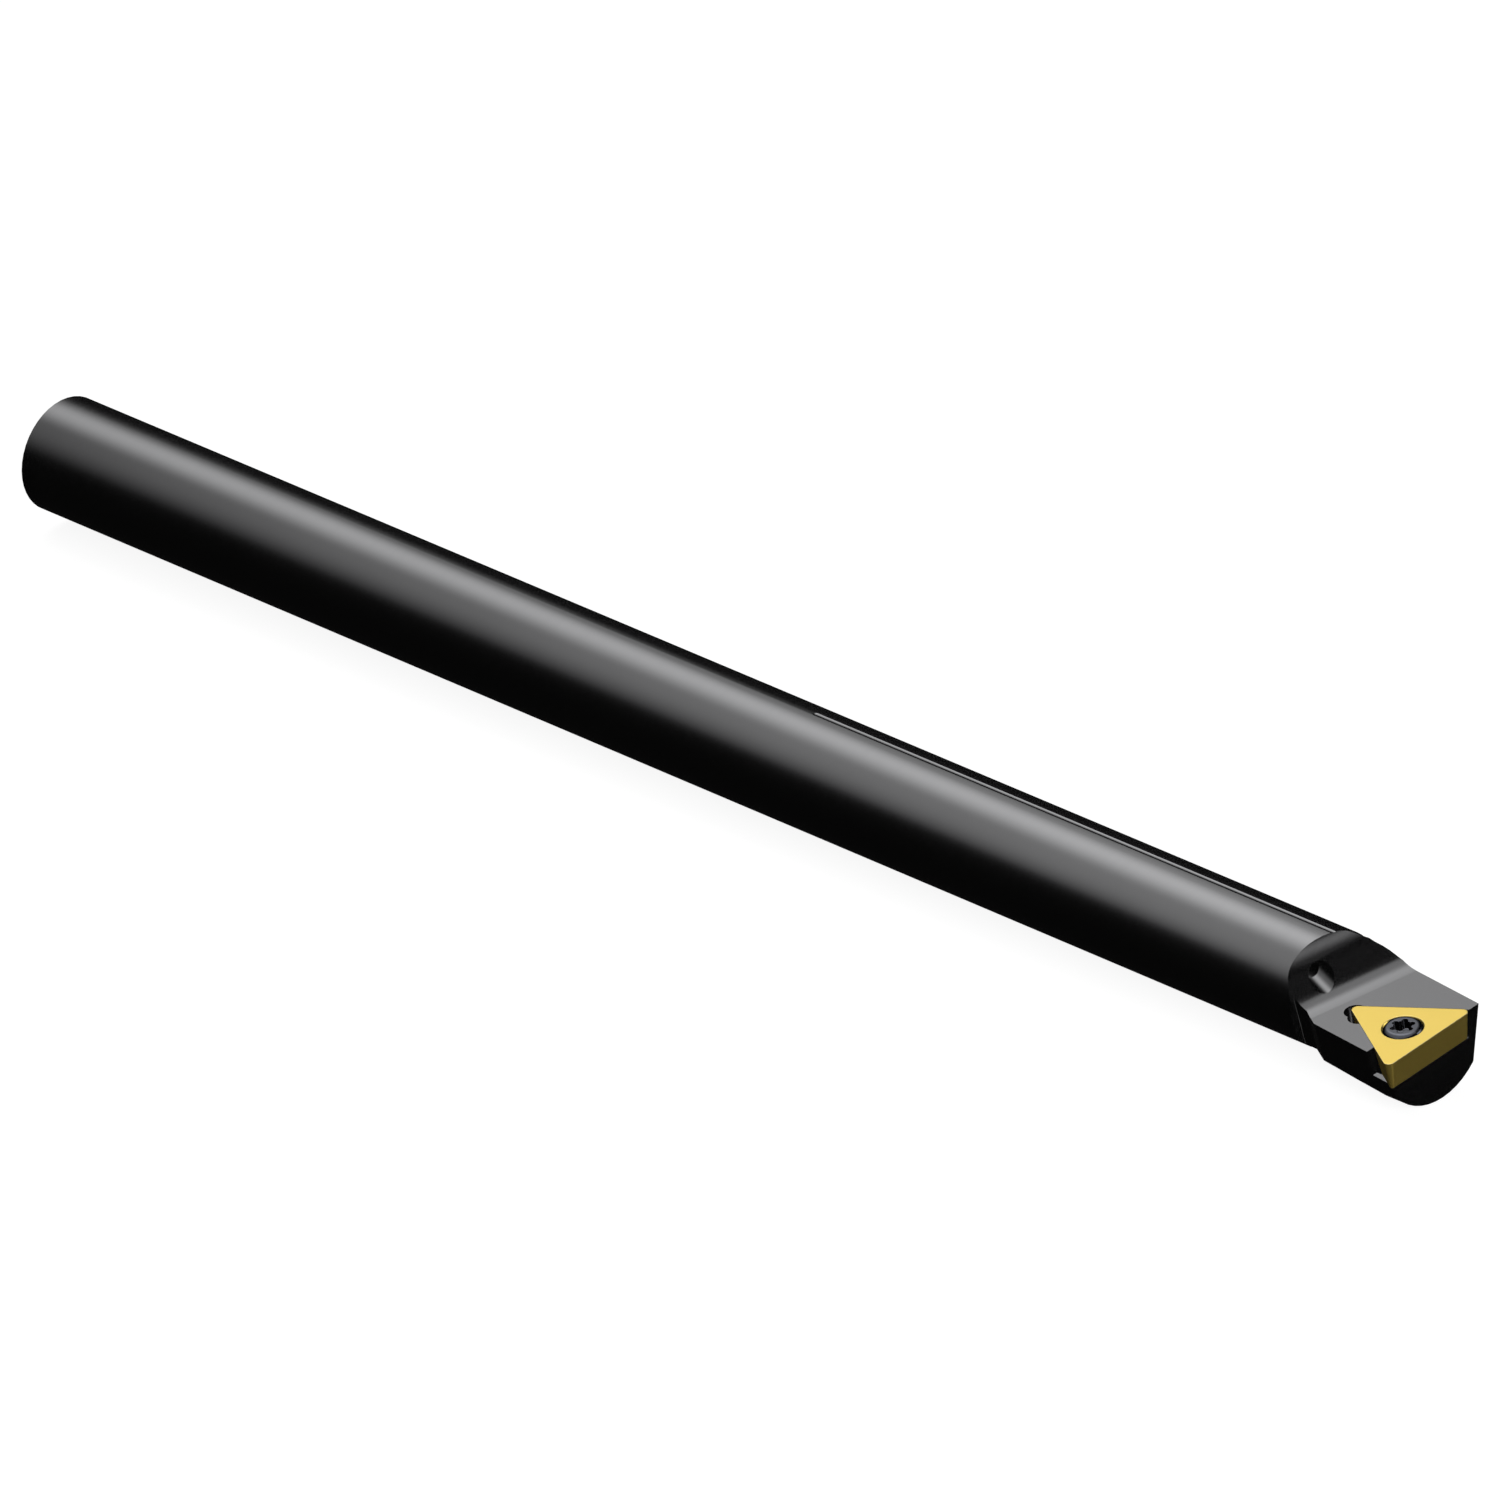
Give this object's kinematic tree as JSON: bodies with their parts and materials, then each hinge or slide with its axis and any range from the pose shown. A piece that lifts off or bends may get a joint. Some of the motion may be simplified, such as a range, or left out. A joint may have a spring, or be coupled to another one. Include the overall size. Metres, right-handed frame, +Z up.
{
  "type": "boring bar",
  "caption": "Round-shank boring bar for internal turning, with a gullet, a coolant outlet and a triangular indexable insert clamped by a central screw.",
  "frame": {"origin": "centre of the back face, on the axis of the shank", "axes": "+X along the shank towards the head, +Z up from the side of the insert's top face, and the cutting corner on the -Y side"},
  "size_m": [0.254, 0.0185, 0.0173],
  "materials": {
    "steel": "dark satin, turned and milled",
    "coating": "gold-coloured hard coating, satin",
    "screw": "blued steel, satin"
  },
  "bodies": {
    "root": {"bar": "steel", "insert": "coating", "insert_screw": "screw"}
  },
  "joints": []
}
